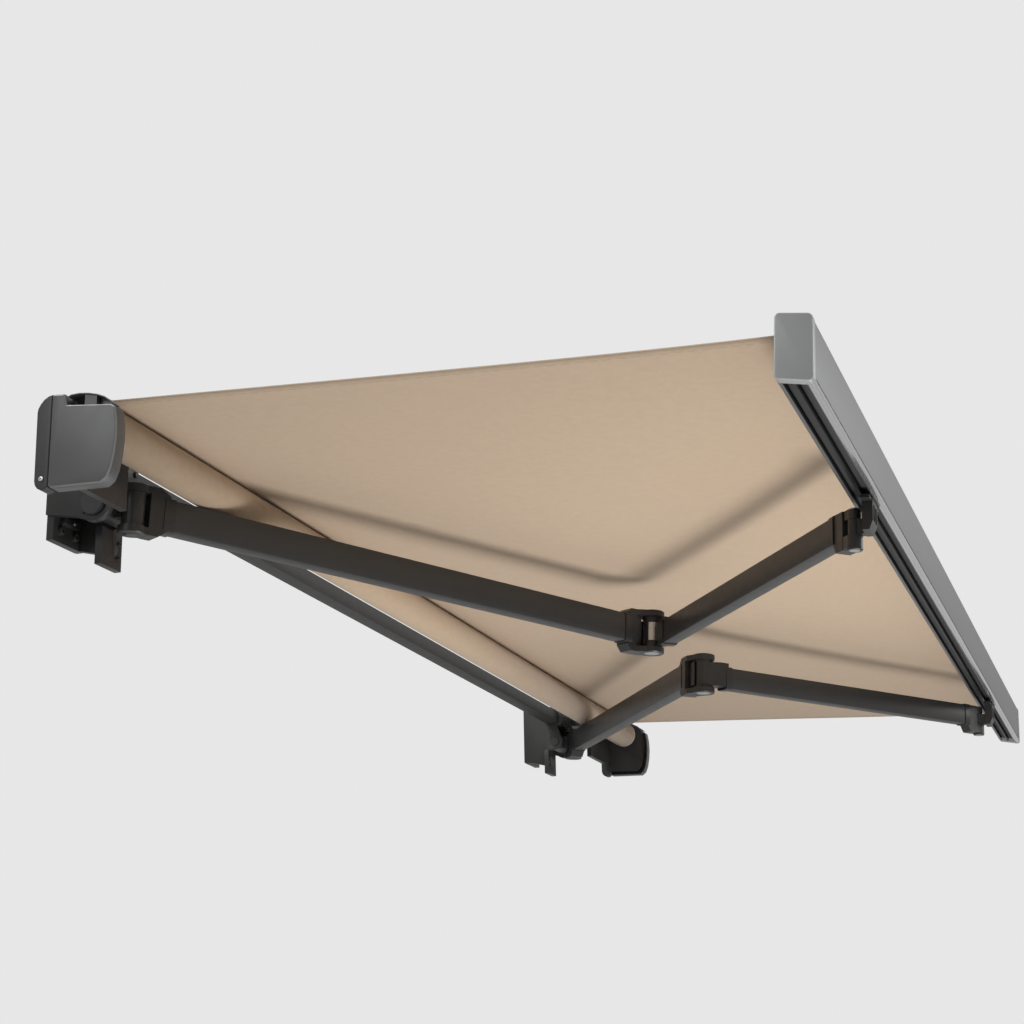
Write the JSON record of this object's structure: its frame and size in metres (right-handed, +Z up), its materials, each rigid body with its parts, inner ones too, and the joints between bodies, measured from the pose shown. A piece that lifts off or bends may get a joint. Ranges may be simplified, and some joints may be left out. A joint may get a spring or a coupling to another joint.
{
  "type": "retractable awning",
  "caption": "Open folding-arm awning: torsion bar on wall brackets, cloth roll between end covers, two elbowed arms, front bar and canopy.",
  "frame": {"origin": "middle of the width, on the wall plane, level with the bottom edge of the wall plates", "axes": "+Z up, +X along the roller, -Y out from the wall over the terrace"},
  "size_m": [3.47, 1.5579, 0.2603],
  "materials": {
    "anthracite": "satin powder coat",
    "steel": "plain steel",
    "galvanised": "galvanised",
    "aluminium_bar": "brushed grey",
    "arm_metal": "satin powder coat on aluminium",
    "cover": "satin",
    "cap": "satin",
    "bush": "dull",
    "cloth": "woven"
  },
  "bodies": {
    "frame": {"torsion_bar": "anthracite", "left_wall_bracket": "arm_metal", "left_bar_jaw": "arm_metal", "left_knuckle": "arm_metal", "left_pitch_pin": "steel", "left_console": "arm_metal", "left_end_cover": "cover", "left_cover_strip": "cover", "right_wall_bracket": "arm_metal", "right_bar_jaw": "arm_metal", "right_knuckle": "arm_metal", "right_pitch_pin": "steel", "right_console": "arm_metal", "right_end_cover": "cover", "right_cover_strip": "cover"},
    "roller": {"roller_tube": "galvanised", "cloth_roll": "cloth", "left_roller_plug": "cap", "right_roller_plug": "cap"},
    "left_rear_arm": {"left_rear_arm": "arm_metal", "left_shoulder_fork": "arm_metal", "left_shoulder_pin": "steel", "left_elbow_fork": "arm_metal", "left_elbow_pin": "steel"},
    "left_forearm": {"left_forearm": "arm_metal", "left_elbow_eye": "arm_metal", "left_elbow_upper_bush": "bush", "left_elbow_lower_bush": "bush", "left_wrist_fork": "arm_metal", "left_wrist_pin": "steel"},
    "right_rear_arm": {"right_rear_arm": "arm_metal", "right_shoulder_fork": "arm_metal", "right_shoulder_pin": "steel", "right_elbow_fork": "arm_metal", "right_elbow_pin": "steel"},
    "right_forearm": {"right_forearm": "arm_metal", "right_elbow_eye": "arm_metal", "right_elbow_upper_bush": "bush", "right_elbow_lower_bush": "bush", "right_wrist_fork": "arm_metal", "right_wrist_pin": "steel"},
    "front_bar": {"front_bar": "aluminium_bar", "canopy": "cloth", "left_bar_cap": "cap", "right_bar_cap": "cap", "left_bar_bracket": "arm_metal", "right_bar_bracket": "arm_metal"}
  },
  "joints": [
    {"name": "left_shoulder", "type": "hinge", "parent": "frame", "child": "left_rear_arm", "pos_m": [-1.394, -0.1536, 0.0353], "axis": [0, -0.0529, 0.9986], "range_deg": [0, 28.1], "deforming": ["canopy"]},
    {"name": "left_elbow", "type": "hinge", "parent": "left_rear_arm", "child": "left_forearm", "pos_m": [-0.24901, -0.8809, -0.0032], "axis": [0, -0.0529, 0.9986], "range_deg": [-61.16, 0.05]},
    {"name": "left_wrist", "type": "hinge", "parent": "left_forearm", "child": "front_bar", "pos_m": [-1.032, -1.494, -0.03565], "axis": [0, -0.0529, 0.9986], "range_deg": [-0.05, 33.06]},
    {"name": "right_shoulder", "type": "hinge", "parent": "frame", "child": "right_rear_arm", "pos_m": [1.394, -0.1536, 0.0353], "axis": [0, -0.0529, 0.9986], "range_deg": [-28.15, 0.05]},
    {"name": "right_elbow", "type": "hinge", "parent": "right_rear_arm", "child": "right_forearm", "pos_m": [0.24901, -0.8809, -0.0032], "axis": [0, -0.0529, 0.9986], "range_deg": [-0.05, 61.16]},
    {"name": "roller_turn", "type": "hinge", "parent": "frame", "child": "roller", "pos_m": [0, -0.2459, 0.13], "axis": [1, 0, 0], "continuous": true}
  ],
  "couplings": [
    {"joint": "left_elbow", "follows": "left_shoulder", "ratio": -2.1747},
    {"joint": "left_wrist", "follows": "left_shoulder", "ratio": 1.1747},
    {"joint": "right_shoulder", "follows": "left_shoulder", "ratio": -1},
    {"joint": "right_elbow", "follows": "left_shoulder", "ratio": 2.1747}
  ]
}
